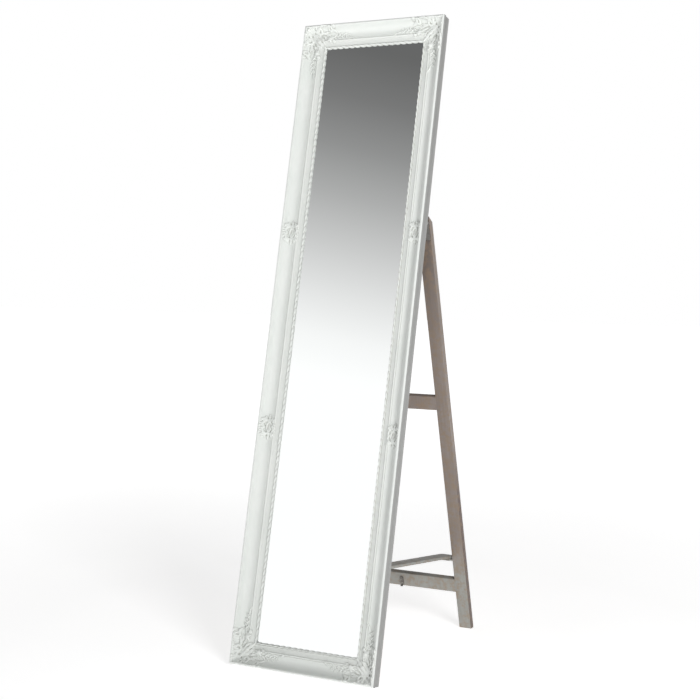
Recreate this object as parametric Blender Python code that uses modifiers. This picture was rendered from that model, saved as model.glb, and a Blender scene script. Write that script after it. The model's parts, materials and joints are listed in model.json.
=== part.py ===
"""Leaning floor mirror: ornamented frame on a folding easel stand.

Frame space: X across, Y away from the viewer (0 at the moulding's foremost
plane), Z up the frame (0 at its bottom edge). The whole frame then leans back.
"""
import math

import bpy
import bmesh
from mathutils import Matrix, Vector

# ---- overall sizes, metres ----
WIDTH = 0.400
HEIGHT = 1.650
LEAN = math.radians(13.57)        # frame's tilt back from upright
APEX = math.radians(28.0)         # angle between the frame and the open stand
GAP = 0.0003                      # air left between neighbouring pieces

# ---- moulding ----
DEPTH = 0.034                     # front plane to back face
BACK_STEP = 0.001                 # back half of the outer side stands in
REBATE_U = 0.048                  # outer edge to the rebate's side wall
RAIL_INNER_U = 0.0545             # outer edge to the rail's inner edge
SIGHT_U = 0.060                   # outer edge to the visible glass
SEAT_N = 0.0262                   # depth of the rebate's shoulder
GLASS_T = 0.003
BOARD_T = 0.003
# visible face of the moulding: distance from the outer edge, depth
FACE = (
    (0.0000, 0.0055), (0.0005, 0.0026), (0.0020, 0.0007), (0.0042, 0.0002),
    (0.0062, 0.0014), (0.0076, 0.0040), (0.0090, 0.0076), (0.0106, 0.0112),
    (0.0126, 0.0146), (0.0150, 0.0174), (0.0180, 0.0196), (0.0212, 0.0210),
    (0.0245, 0.0217), (0.0280, 0.0216), (0.0320, 0.0207), (0.0355, 0.0196),
    (0.0368, 0.0193), (0.0377, 0.0204), (0.0385, 0.0191), (0.0399, 0.0178),
    (0.0415, 0.0183), (0.0426, 0.0199), (0.0438, 0.0206), (0.0480, 0.0217),
    (0.0520, 0.0228), (0.0545, 0.0236),
)
SLIP_FACE = (
    (0.0548, 0.0254), (0.0552, 0.0236), (0.0564, 0.0220), (0.0576, 0.0216),
    (0.0588, 0.0221), (0.0597, 0.0236), (0.0600, 0.0254),
)

# ---- stand ----
HINGE_OFF = 0.0043                # hinge axis behind the frame's back face
HINGE_S = 1.124                   # hinge axis above the frame's bottom edge
LEG_W = 0.034
LEG_T = 0.0175
LEG_OVER = 0.015                  # leg top above the hinge axis
CHAMFER_H = 0.018
RAIL_SPANS = {"stand_rail_top": (0.091, 0.128),
              "stand_rail_middle": (0.460, 0.497),
              "stand_rail_lower": (0.983, 1.021)}
EDGE_R = 0.0008                   # eased edges of the stand's timber

# ---- spreader arms ----
ARM_S = 0.271                     # arm pivot above the frame's bottom edge
ARM_RISE = math.radians(6.0)      # open arm above square to the frame
ARM_T = 0.0075
ARM_W = 0.038
ARM_OUT_X = 0.1625
STOP_T = 0.007                    # stop block under the arm's outer end
STOP_DROP = 0.0125                # block's lower end below the arm's mid plane
PEG_R = 0.004
PEG_INNER_X = 0.1565

# ---- hardware ----
LEAF_T = 0.002
LEAF_L = 0.044
LEAF_W = 0.030
BARREL_R = 0.0040
PIN_R = 0.0016
PIN_CLEAR = 0.00005
SCREW_R = 0.0015
SCREW_HEAD_R = 0.0034
SCREW_L = 0.011
PILOT_R = 0.0018

HALF_W = WIDTH / 2.0
PANEL_HALF_W = HALF_W - REBATE_U - GAP
PANEL_LOW = REBATE_U + GAP
PANEL_HIGH = HEIGHT - REBATE_U - GAP
FLOOR_Z = DEPTH * math.sin(LEAN) - BACK_STEP * math.cos(LEAN)
STAND_TILT = APEX - LEAN

MATERIALS = {
    "antique_white": ((0.76, 0.77, 0.72), 0.55, 0.0),
    "stand_paint": ((0.35, 0.32, 0.29), 0.60, 0.0),
    "mirror_glass": ((0.90, 0.92, 0.92), 0.03, 1.0),
    "hardboard": ((0.36, 0.23, 0.13), 0.85, 0.0),
    "steel": ((0.62, 0.62, 0.60), 0.35, 1.0),
}


# ---------------------------------------------------------------- scene set-up
def clear_scene():
    for obj in list(bpy.data.objects):
        bpy.data.objects.remove(obj, do_unlink=True)


def make_collection(name):
    coll = bpy.data.collections.new(name)
    bpy.context.scene.collection.children.link(coll)
    return coll


def material(name, slot):
    color, rough, metal = MATERIALS[slot]
    mat = bpy.data.materials.new(name + "_" + slot)
    mat.use_nodes = True
    shader = mat.node_tree.nodes["Principled BSDF"]
    shader.inputs["Base Color"].default_value = (*color, 1.0)
    shader.inputs["Roughness"].default_value = rough
    shader.inputs["Metallic"].default_value = metal
    return mat


clear_scene()
PART = make_collection("leaning_floor_mirror")
CUTTERS = make_collection("cutters")


def empty(name, parent, location, tilt):
    obj = bpy.data.objects.new(name, None)
    PART.objects.link(obj)
    obj.parent = parent
    obj.location = location
    obj.rotation_euler = (tilt, 0.0, 0.0)
    return obj


def add_mesh(name, mesh, parent, slot, smooth):
    mesh.materials.append(material(name, slot))
    obj = bpy.data.objects.new(name, mesh)
    PART.objects.link(obj)
    obj.parent = parent
    if smooth:
        mesh.polygons.foreach_set("use_smooth", [True] * len(mesh.polygons))
        mesh.set_sharp_from_angle(angle=math.radians(35))
    return obj


def finish_bmesh(name, bm):
    bmesh.ops.remove_doubles(bm, verts=bm.verts, dist=1e-7)
    bmesh.ops.recalc_face_normals(bm, faces=bm.faces)
    mesh = bpy.data.meshes.new(name)
    bm.to_mesh(mesh)
    bm.free()
    return mesh


# ------------------------------------------------------------------ mesh makers
def loft(name, rings):
    """Closed body through equal-length rings, with flat ends."""
    bm = bmesh.new()
    rows = [[bm.verts.new(point) for point in ring] for ring in rings]
    count = len(rows[0])
    for near, far in zip(rows, rows[1:]):
        for i in range(count):
            j = (i + 1) % count
            bm.faces.new((near[i], near[j], far[j], far[i]))
    bm.faces.new(rows[0])
    bm.faces.new(reversed(rows[-1]))
    return finish_bmesh(name, bm)


def side_prism(name, outline, x0, x1):
    """Outline in the depth and height plane, swept across from x0 to x1."""
    return loft(name, [[(x, y, z) for y, z in outline] for x in (x0, x1)])


def box_mesh(name, low, high):
    bm = bmesh.new()
    size = Vector(high) - Vector(low)
    middle = (Vector(high) + Vector(low)) / 2.0
    place = Matrix.Translation(middle) @ Matrix.Diagonal((*size, 1.0))
    bmesh.ops.create_cube(bm, size=1.0, matrix=place)
    return finish_bmesh(name, bm)


AXIS_TURN = {
    "X": Matrix.Rotation(math.radians(90), 4, "Y"),
    "Y": Matrix.Rotation(math.radians(-90), 4, "X"),
    "Z": Matrix.Identity(4),
}


def cylinder_mesh(name, middle, radius, length, axis, segments=24, end_radius=None):
    bm = bmesh.new()
    far_radius = radius if end_radius is None else end_radius
    bmesh.ops.create_cone(
        bm, cap_ends=True, segments=segments, radius1=radius, radius2=far_radius,
        depth=length, matrix=Matrix.Translation(middle) @ AXIS_TURN[axis])
    return finish_bmesh(name, bm)


def as_tool(mesh, parent):
    tool = bpy.data.objects.new(mesh.name, mesh)
    CUTTERS.objects.link(tool)
    tool.parent = parent
    tool.hide_render = True
    tool.display_type = "WIRE"
    return tool


def combine(obj, mesh, operation):
    mod = obj.modifiers.new(operation.lower(), "BOOLEAN")
    mod.operation = operation
    mod.solver = "EXACT"
    mod.object = as_tool(mesh, obj.parent)


def ease_edges(obj, width=EDGE_R):
    mod = obj.modifiers.new("eased_edges", "BEVEL")
    mod.width = width
    mod.segments = 2
    mod.limit_method = "ANGLE"
    mod.angle_limit = math.radians(40)
    mod.harden_normals = False


def turned(name, profile, parent, slot, steps=20):
    """Body of revolution about its own Z from an outer profile, top to bottom."""
    mesh = bpy.data.meshes.new(name)
    edges = [(i, i + 1) for i in range(len(profile) - 1)]
    mesh.from_pydata([(r, 0.0, z) for r, z in profile], edges, [])
    obj = add_mesh(name, mesh, parent, slot, True)
    mod = obj.modifiers.new("turned", "SCREW")
    mod.axis = "Z"
    mod.angle = math.tau
    mod.steps = steps
    mod.render_steps = steps
    mod.use_merge_vertices = True
    mod.merge_threshold = 0.00001
    mod.use_smooth_shade = True
    return obj


# ------------------------------------------------------------ moulded frame
def rail_section():
    """Rail outline: face, inner edge, rebate, back and stepped outer side."""
    back_half = DEPTH * 0.43
    return list(FACE) + [
        (RAIL_INNER_U, SEAT_N), (REBATE_U, SEAT_N), (REBATE_U, DEPTH),
        (BACK_STEP, DEPTH), (BACK_STEP, back_half), (0.0, back_half - BACK_STEP)]


def slip_section():
    return list(SLIP_FACE) + [(SIGHT_U, SEAT_N), (0.0548, SEAT_N)]


def mitred(name, section, side):
    """Section run along one side of the frame, mitred at both ends."""
    ease = GAP / math.sqrt(2.0)
    rings = []
    for end in (-1.0, 1.0):
        ring = []
        for u, n in section:
            if side in ("left", "right"):
                x = (HALF_W - u) * (1.0 if side == "right" else -1.0)
                z = u + ease if end < 0 else HEIGHT - u - ease
            else:
                x = end * (HALF_W - u - ease)
                z = u if side == "bottom" else HEIGHT - u
            ring.append((x, n, z))
        rings.append(ring)
    return loft(name, rings)


def build_frame(lean):
    rails = {}
    for side in ("left", "right", "bottom", "top"):
        name = ("stile_" if side in ("left", "right") else "rail_") + side
        rails[side] = add_mesh(name, mitred(name, rail_section(), side), lean,
                               "antique_white", True)
        name = "sight_slip_" + side
        add_mesh(name, mitred(name, slip_section(), side), lean, "antique_white", True)
    return rails


def build_panels(lean):
    glass_n = SEAT_N + GAP
    board_n = glass_n + GLASS_T + GAP
    glass = box_mesh("mirror_glass", (-PANEL_HALF_W, glass_n, PANEL_LOW),
                     (PANEL_HALF_W, glass_n + GLASS_T, PANEL_HIGH))
    board = box_mesh("backing_board", (-PANEL_HALF_W, board_n, PANEL_LOW),
                     (PANEL_HALF_W, board_n + BOARD_T, PANEL_HIGH))
    add_mesh("mirror_glass", glass, lean, "mirror_glass", False)
    add_mesh("backing_board", board, lean, "hardboard", False)


# ------------------------------------------------------------ ornaments
ORNAMENT_T = 0.0055
# half outline of a corner ornament: along one side, in from the outer edge
CORNER_HALF = (
    (0.004, 0.004), (0.015, 0.0022), (0.028, 0.0020), (0.038, 0.0045), (0.052, 0.0025),
    (0.066, 0.0020), (0.082, 0.0030), (0.092, 0.0070), (0.088, 0.0130), (0.098, 0.0140),
    (0.103, 0.0190), (0.111, 0.0170), (0.114, 0.0235), (0.122, 0.0220), (0.126, 0.0285),
    (0.135, 0.0300), (0.143, 0.0375), (0.132, 0.0360), (0.122, 0.0335), (0.117, 0.0390),
    (0.108, 0.0320), (0.103, 0.0385), (0.094, 0.0310), (0.085, 0.0400), (0.076, 0.0450),
    (0.066, 0.0450), (0.060, 0.0410), (0.0560, 0.0480),
)
CORNER_LEAF_TIP = (0.0605, 0.0605)
SIDE_HALF = (
    (0.000, 0.034), (0.004, 0.026), (0.011, 0.024), (0.010, 0.017), (0.018, 0.013),
    (0.0195, 0.004),
)
SIDE_ORNAMENT_S = (1.096, 0.592)
SIDE_ORNAMENT_U = 0.0245


def skin_section():
    """Thin shell lying just in front of the moulding's face."""
    face = [(u, n - GAP) for u, n in FACE[1:]]
    face += [(u, n - GAP) for u, n in SLIP_FACE[1:-1]] + [(SIGHT_U + GAP, SLIP_FACE[-1][1])]
    front = [(u, n - ORNAMENT_T) for u, n in reversed(face)]
    return face + front


def corner_skin(name, sx, top):
    """Shell over a frame corner: along the rail, round the mitre, along the stile."""
    reach = 0.150
    rings = []
    for station in ("rail", "mitre", "stile"):
        ring = []
        for u, n in skin_section():
            x_in = reach if station == "rail" else u
            z_in = reach if station == "stile" else u
            z = HEIGHT - z_in if top else z_in
            ring.append((sx * (HALF_W - x_in), n, z))
        rings.append(ring)
    return loft(name, rings)


def corner_outline():
    half = list(CORNER_HALF)
    mirrored = [(b, a) for a, b in reversed(half)]
    return half + [CORNER_LEAF_TIP] + mirrored[:-1]


def side_outline():
    quarter = list(SIDE_HALF)
    right = quarter + [(a, -b) for a, b in reversed(quarter)]
    left = [(-a, b) for a, b in reversed(right[1:-1])]
    return right + left


def outline_solid(name, points):
    """Flat outline in the frame's plane, deep enough to cross the moulding."""
    return loft(name, [[(x, y, z) for x, z in points] for y in (-0.030, 0.030)])


def build_ornaments(lean):
    for vertical, top in (("top", True), ("bottom", False)):
        for side, sx in (("left", -1.0), ("right", 1.0)):
            name = "corner_ornament_" + vertical + "_" + side
            obj = add_mesh(name, corner_skin(name, sx, top), lean, "antique_white", True)
            points = []
            for a, b in corner_outline():
                points.append((sx * (HALF_W - a), HEIGHT - b if top else b))
            combine(obj, outline_solid(name + "_outline", points), "INTERSECT")
    for level, s in zip(("upper", "lower"), SIDE_ORNAMENT_S):
        for side, sx in (("left", -1.0), ("right", 1.0)):
            name = "side_ornament_" + level + "_" + side
            rings = [[(sx * (HALF_W - u), n, z) for u, n in skin_section()]
                     for z in (s - 0.045, s + 0.045)]
            obj = add_mesh(name, loft(name, rings), lean, "antique_white", True)
            centre_x = sx * (HALF_W - SIDE_ORNAMENT_U)
            points = [(centre_x + a, s + b) for a, b in side_outline()]
            combine(obj, outline_solid(name + "_outline", points), "INTERSECT")


# ------------------------------------------------------------ back fixings
BUTTON_LEVELS = (0.190, 0.880, 1.420)
BUTTON_W = 0.012
BUTTON_T = 0.0016
BUTTON_IN_X = 0.126
BUTTON_OUT_X = 0.163
BUTTON_PIVOT_X = 0.1562


def build_turn_buttons(lean):
    """Steel buttons on the stiles' backs that hold the backing board in."""
    for level, s in enumerate(BUTTON_LEVELS, start=1):
        for side, sx in (("left", -1.0), ("right", 1.0)):
            name = "turn_button_" + side + "_" + str(level)
            xs = sorted((sx * BUTTON_IN_X, sx * BUTTON_OUT_X))
            near = DEPTH + GAP
            mesh = box_mesh(name, (xs[0], near, s - BUTTON_W / 2),
                            (xs[1], near + BUTTON_T, s + BUTTON_W / 2))
            obj = add_mesh(name, mesh, lean, "steel", True)
            head = cylinder_mesh(name + "_rivet", (sx * BUTTON_PIVOT_X, near + BUTTON_T + 0.0006, s),
                                 0.0036, 0.0016, "Y", end_radius=0.0022)
            combine(obj, head, "UNION")


def screw(name, parent, at, toward, flat=True):
    """Wood screw: its head's face at `at`, its shank running `toward` +Y or -Y."""
    if flat:
        profile = ((0.0, 0.0), (SCREW_HEAD_R, 0.0), (SCREW_R, -0.0018),
                   (SCREW_R, -SCREW_L + 0.002), (0.0, -SCREW_L))
    else:
        profile = ((0.0, 0.0016), (0.0016, 0.0013), (0.0028, 0.0004), (0.0030, 0.0),
                   (SCREW_R, 0.0), (SCREW_R, -SCREW_L + 0.002), (0.0, -SCREW_L))
    obj = turned(name, profile, parent, "steel", steps=16)
    obj.location = at
    obj.rotation_euler = (math.radians(90.0 if toward > 0 else -90.0), 0.0, 0.0)
    return obj


def pilot(owner, at, depth=SCREW_L + 0.001, radius=PILOT_R):
    hole = cylinder_mesh(owner.name + "_pilot", at, radius, 2.0 * depth, "Y", segments=16)
    combine(owner, hole, "DIFFERENCE")


# ------------------------------------------------------------ hinges
LEAF_SCREWS = (-0.016, -0.034)
KNUCKLE_GAP = 0.0002


def hinge_leaf(name, parent, middle_x, near, knuckles):
    """One leaf of a hinge about the parent's X axis, hanging below the barrel."""
    low_x = middle_x - LEAF_W / 2
    high_x = middle_x + LEAF_W / 2
    plate = box_mesh(name, (low_x, near, -LEAF_L), (high_x, near + LEAF_T, -BARREL_R - 0.001))
    obj = add_mesh(name, plate, parent, "steel", True)
    step = LEAF_W / 3.0
    for k in knuckles:
        x0 = low_x + step * k + KNUCKLE_GAP / 2
        x1 = low_x + step * (k + 1) - KNUCKLE_GAP / 2
        tab = box_mesh(name + "_tab", (x0, near, -BARREL_R - 0.002), (x1, near + LEAF_T, 0.0))
        combine(obj, tab, "UNION")
        barrel = cylinder_mesh(name + "_knuckle", ((x0 + x1) / 2, 0.0, 0.0), BARREL_R,
                               x1 - x0, "X", segments=32)
        combine(obj, barrel, "UNION")
    bore = cylinder_mesh(name + "_bore", (middle_x, 0.0, 0.0), PIN_R + PIN_CLEAR,
                         LEAF_W * 2, "X", segments=32)
    combine(obj, bore, "DIFFERENCE")
    return obj


def countersink(leaf, x, face, z, outward):
    """Cone for a flat screw head whose face lies in the leaf's outer face."""
    depth = 0.0040
    wide = SCREW_HEAD_R + GAP + 0.0010
    narrow = wide - depth * (SCREW_HEAD_R - SCREW_R) / 0.0018
    near_r, far_r = (narrow, wide) if outward > 0 else (wide, narrow)
    middle_y = face + outward * (0.0010 - depth / 2.0) * 1.0
    cone = cylinder_mesh(leaf.name + "_sink", (x, middle_y, z), max(near_r, PILOT_R), depth,
                         "Y", segments=24, end_radius=max(far_r, PILOT_R))
    combine(leaf, cone, "DIFFERENCE")


def build_hinge(side, sx, frame_axis, stand_axis, stile, leg):
    middle_x = sx * (HALF_W - LEG_W / 2)
    frame_near = -HINGE_OFF + 0.00015
    stand_near = HINGE_OFF - 0.00015 - LEAF_T
    fixed = hinge_leaf("hinge_frame_leaf_" + side, frame_axis, middle_x, frame_near, (0, 2))
    swung = hinge_leaf("hinge_stand_leaf_" + side, stand_axis, middle_x, stand_near, (1,))
    pin = cylinder_mesh("hinge_pin_" + side, (middle_x, 0.0, 0.0), PIN_R, LEAF_W + 0.001,
                        "X", segments=32)
    add_mesh("hinge_pin_" + side, pin, frame_axis, "steel", True)
    for k, z in enumerate(LEAF_SCREWS, start=1):
        face = frame_near + LEAF_T
        countersink(fixed, middle_x, face, z, 1.0)
        screw("hinge_screw_frame_" + side + "_" + str(k), frame_axis, (middle_x, face, z), -1.0)
        pilot(stile, (middle_x, DEPTH, HINGE_S + z))
        face = stand_near
        countersink(swung, middle_x, face, z, -1.0)
        screw("hinge_screw_stand_" + side + "_" + str(k), stand_axis, (middle_x, face, z), 1.0)
        pilot(leg, (middle_x, HINGE_OFF, z))


# ------------------------------------------------------------ stand
def foot_height(n):
    """Level of the floor in stand space, at a depth behind the hinge axis."""
    axis_z = FLOOR_Z + HINGE_S * math.cos(LEAN) - (DEPTH + HINGE_OFF) * math.sin(LEAN)
    return -(axis_z + n * math.sin(STAND_TILT)) / math.cos(STAND_TILT)


def build_stand(stand):
    front = HINGE_OFF
    back = HINGE_OFF + LEG_T
    outline = ((front, foot_height(front)), (back, foot_height(back)),
               (back, LEG_OVER - CHAMFER_H), (front + 0.0012, LEG_OVER), (front, LEG_OVER))
    legs = {}
    for side, sx in (("left", -1.0), ("right", 1.0)):
        xs = sorted((sx * HALF_W, sx * (HALF_W - LEG_W)))
        name = "leg_" + side
        legs[side] = add_mesh(name, side_prism(name, outline, *xs), stand, "stand_paint", True)
    inner = HALF_W - LEG_W - GAP
    for name, (near, far) in RAIL_SPANS.items():
        mesh = box_mesh(name, (-inner, front, -far), (inner, back, -near))
        rail = add_mesh(name, mesh, stand, "stand_paint", True)
        ease_edges(rail)
    return legs


# ------------------------------------------------------------ spreader arms
def arm_reach():
    """Distance from the arm's pivot to the middle of the leg, along the arm."""
    leg_mid = HINGE_OFF + LEG_T / 2
    drop = HINGE_S - ARM_S
    along = Vector((math.cos(ARM_RISE), math.sin(ARM_RISE)))
    down_leg = Vector((math.sin(APEX), -math.cos(APEX)))
    start = Vector((leg_mid * math.cos(APEX), drop + leg_mid * math.sin(APEX)))
    cross = along.x * down_leg.y - along.y * down_leg.x
    return (start.x * down_leg.y - start.y * down_leg.x) / cross


def build_arm(side, sx, pivot, lean):
    """Flat slat from the stile's back whose stop block drops behind a peg on the leg."""
    end = arm_reach() + PEG_R + 0.0004 + STOP_T
    half = ARM_T / 2
    outline = [(end, half), (0.0, half)]
    for k in range(1, 8):
        angle = math.pi / 2 + math.pi * k / 8.0
        outline.append((half * math.cos(angle), half * math.sin(angle)))
    outline += [(0.0, -half), (end, -half)]
    xs = sorted((sx * ARM_OUT_X, sx * (ARM_OUT_X - ARM_W)))
    name = "spreader_arm_" + side
    arm = add_mesh(name, side_prism(name, outline, *xs), pivot, "stand_paint", True)
    middle_x = sum(xs) / 2
    bore = cylinder_mesh(name + "_bore", (middle_x, 0.0, 0.0), PIN_R + PIN_CLEAR,
                         ARM_W * 2, "X", segments=32)
    combine(arm, bore, "DIFFERENCE")
    block = box_mesh("arm_stop_" + side, (xs[0], end - STOP_T, -STOP_DROP), (xs[1], end, -half - GAP))
    add_mesh("arm_stop_" + side, block, pivot, "stand_paint", True)

    name = "arm_bracket_" + side
    near = DEPTH + GAP
    bracket = box_mesh(name, (xs[0] - 0.0018, near, ARM_S - 0.026),
                       (xs[1] + 0.0018, near + 0.0016, ARM_S - 0.006))
    bracket = add_mesh(name, bracket, lean, "steel", True)
    for x0, x1 in ((xs[0] - 0.0018, xs[0] - GAP), (xs[1] + GAP, xs[1] + 0.0018)):
        ear = box_mesh(name + "_ear", (x0, near, ARM_S - 0.026), (x1, near + 0.0076, ARM_S + 0.0035))
        combine(bracket, ear, "UNION")
    for offset in (-0.009, 0.009):
        head = cylinder_mesh(name + "_rivet", (middle_x + offset, near + 0.0022, ARM_S - 0.016),
                             0.0034, 0.0016, "Y", end_radius=0.0020)
        combine(bracket, head, "UNION")
    bore = cylinder_mesh(name + "_bore", (middle_x, DEPTH + HINGE_OFF, ARM_S), PIN_R + PIN_CLEAR,
                         ARM_W * 2, "X", segments=32)
    combine(bracket, bore, "DIFFERENCE")
    pin = cylinder_mesh("arm_pin_" + side, (middle_x, DEPTH + HINGE_OFF, ARM_S), PIN_R,
                        ARM_W + 0.0044, "X", segments=32)
    add_mesh("arm_pin_" + side, pin, lean, "steel", True)


def build_peg(side, sx, stand, leg):
    """Peg in the leg's inner side, under the arm and in front of its stop block."""
    reach = arm_reach()
    below = ARM_T / 2 + GAP + PEG_R
    n = reach * math.cos(ARM_RISE) + below * math.sin(ARM_RISE)
    s = ARM_S - HINGE_S + reach * math.sin(ARM_RISE) - below * math.cos(ARM_RISE)
    y = n * math.cos(APEX) + s * math.sin(APEX)
    z = -n * math.sin(APEX) + s * math.cos(APEX)
    deep = 0.012
    inner = HALF_W - LEG_W
    xs = sorted((sx * PEG_INNER_X, sx * (inner + deep)))
    name = "arm_peg_" + side
    peg = cylinder_mesh(name, (sum(xs) / 2, y, z), PEG_R, xs[1] - xs[0], "X", segments=28)
    add_mesh(name, peg, stand, "steel", True)
    socket = cylinder_mesh(name + "_socket", (sx * inner, y, z), PEG_R + 0.0001,
                           2.0 * (deep + GAP), "X", segments=28)
    combine(leg, socket, "DIFFERENCE")


# ------------------------------------------------------------ catch plate
CATCH_X = 0.006
CATCH_W = 0.0115
CATCH_T = 0.0016
CATCH_TOP = -0.9920
CATCH_BOTTOM = -1.0200
CATCH_SCREWS = (-0.9960, -1.0090)


def build_catch(stand):
    """Plate on the lower rail with a short tongue bent towards the frame."""
    rail = bpy.data.objects["stand_rail_lower"]
    near = HINGE_OFF - GAP - CATCH_T
    far = near + CATCH_T
    radius = CATCH_W / 2
    outline = []
    for k in range(0, 13):
        angle = math.pi * k / 12.0
        outline.append((CATCH_X + radius * math.cos(angle), CATCH_TOP + radius * (math.sin(angle) - 1)))
    outline += [(CATCH_X - radius, -1.0125), (CATCH_X - 0.0032, CATCH_BOTTOM),
                (CATCH_X + 0.0032, CATCH_BOTTOM), (CATCH_X + radius, -1.0125)]
    plate = loft("catch_plate", [[(x, y, z) for x, z in outline] for y in (near, far)])
    plate = add_mesh("catch_plate", plate, stand, "steel", True)
    tongue = box_mesh("catch_tongue", (CATCH_X - 0.0032, near - 0.0042, CATCH_BOTTOM - 0.0012),
                      (CATCH_X + 0.0032, far, CATCH_BOTTOM + 0.0004))
    combine(plate, tongue, "UNION")
    for k, z in enumerate(CATCH_SCREWS, start=1):
        pilot(plate, (CATCH_X, near, z), depth=0.004)
        pilot(rail, (CATCH_X, HINGE_OFF, z))
        screw("catch_screw_" + str(k), stand, (CATCH_X, near - 0.0001, z), 1.0, flat=False)


# ------------------------------------------------------------ assembly
def settle_origin(root):
    """Put the origin under the middle of the whole object, on the floor."""
    bpy.context.view_layer.update()
    graph = bpy.context.evaluated_depsgraph_get()
    ys = []
    for obj in PART.objects:
        if obj.type == "MESH":
            mesh = obj.evaluated_get(graph).to_mesh()
            ys += [(obj.matrix_world @ vert.co).y for vert in mesh.vertices]
            obj.evaluated_get(graph).to_mesh_clear()
    root.location.y -= (min(ys) + max(ys)) / 2.0


def build():
    root = empty("mirror_root", None, (0.0, 0.0, 0.0), 0.0)
    lean = empty("frame_lean", root, (0.0, 0.0, FLOOR_Z), -LEAN)
    frame_axis = empty("hinge_axis_fixed", lean, (0.0, DEPTH + HINGE_OFF, HINGE_S), 0.0)
    stand = empty("stand_axis", lean, (0.0, DEPTH + HINGE_OFF, HINGE_S), APEX)
    rails = build_frame(lean)
    build_panels(lean)
    build_ornaments(lean)
    build_turn_buttons(lean)
    legs = build_stand(stand)
    for side, sx in (("left", -1.0), ("right", 1.0)):
        build_hinge(side, sx, frame_axis, stand, rails[side], legs[side])
        pivot = empty("arm_axis_" + side, lean, (0.0, DEPTH + HINGE_OFF, ARM_S), ARM_RISE)
        build_arm(side, sx, pivot, lean)
        build_peg(side, sx, stand, legs[side])
    build_catch(stand)
    settle_origin(root)


build()
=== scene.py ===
"""Looks for the leaning floor mirror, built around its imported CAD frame.

Frame space: X across, Y away from the viewer from the moulding's foremost
plane, Z up the frame from its bottom edge. TO_WORLD leans it back.
"""

import json
import math

import bmesh
import bpy
import numpy as np
from mathutils import Matrix, Vector


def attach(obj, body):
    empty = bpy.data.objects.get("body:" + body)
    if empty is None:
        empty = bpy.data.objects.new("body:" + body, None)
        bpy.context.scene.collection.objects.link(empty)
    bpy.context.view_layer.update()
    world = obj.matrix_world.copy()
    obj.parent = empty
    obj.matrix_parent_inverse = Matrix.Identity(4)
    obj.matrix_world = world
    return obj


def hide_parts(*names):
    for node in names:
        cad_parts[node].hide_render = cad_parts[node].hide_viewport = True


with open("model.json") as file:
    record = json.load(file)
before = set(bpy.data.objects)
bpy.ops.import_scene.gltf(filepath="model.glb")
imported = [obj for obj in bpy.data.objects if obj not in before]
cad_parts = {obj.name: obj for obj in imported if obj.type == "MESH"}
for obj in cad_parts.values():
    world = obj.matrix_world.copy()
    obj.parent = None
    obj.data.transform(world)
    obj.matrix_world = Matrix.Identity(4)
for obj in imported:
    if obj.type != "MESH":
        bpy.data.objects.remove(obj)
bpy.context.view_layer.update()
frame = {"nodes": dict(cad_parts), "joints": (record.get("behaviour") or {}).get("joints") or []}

# ------------------------------------------------------------------ sizes
WIDTH = 0.400
HEIGHT = 1.650
DEPTH = 0.034
LEAN = math.radians(13.57)
APEX = math.radians(28.0)
BACK_STEP = 0.001
REBATE_U = 0.048
RAIL_INNER_U = 0.0545
SIGHT_U = 0.060
SEAT_N = 0.0262
HINGE_OFF = 0.0043
HINGE_S = 1.124
LEG_W = 0.034
LEG_T = 0.0175
LEG_OVER = 0.015
CHAMFER_H = 0.018
ARM_S = 0.271
ARM_RISE = math.radians(6.0)
ARM_T = 0.0075
ARM_W = 0.038
ARM_OUT_X = 0.1625
STOP_T = 0.007
STOP_DROP = 0.0125
PEG_R = 0.004
GAP = 0.0003
HALF_W = WIDTH / 2.0
MM = 0.001

JOINTS = {joint["name"]: joint for joint in frame["joints"]}
hinge_world = JOINTS["stand_fold"]["pos_m"]
hinge_n = DEPTH + HINGE_OFF
ORIGIN_Y = hinge_world[1] - hinge_n * math.cos(LEAN) - HINGE_S * math.sin(LEAN)
ORIGIN_Z = hinge_world[2] - HINGE_S * math.cos(LEAN) + hinge_n * math.sin(LEAN)
TO_WORLD = Matrix.Translation((0.0, ORIGIN_Y, ORIGIN_Z)) @ Matrix.Rotation(-LEAN, 4, "X")


def hung_space(s, tilt):
    """Space of a part hung behind the frame's back at a height up the frame."""
    return TO_WORLD @ Matrix.Translation((0.0, hinge_n, s)) @ Matrix.Rotation(tilt, 4, "X")


STAND_SPACE = hung_space(HINGE_S, APEX)
ARM_SPACE = hung_space(ARM_S, ARM_RISE)


def foot_height(n):
    """Level of the floor in stand space, at a depth behind the hinge axis."""
    tilt = APEX - LEAN
    return -(hinge_world[2] + n * math.sin(tilt)) / math.cos(tilt)


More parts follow.
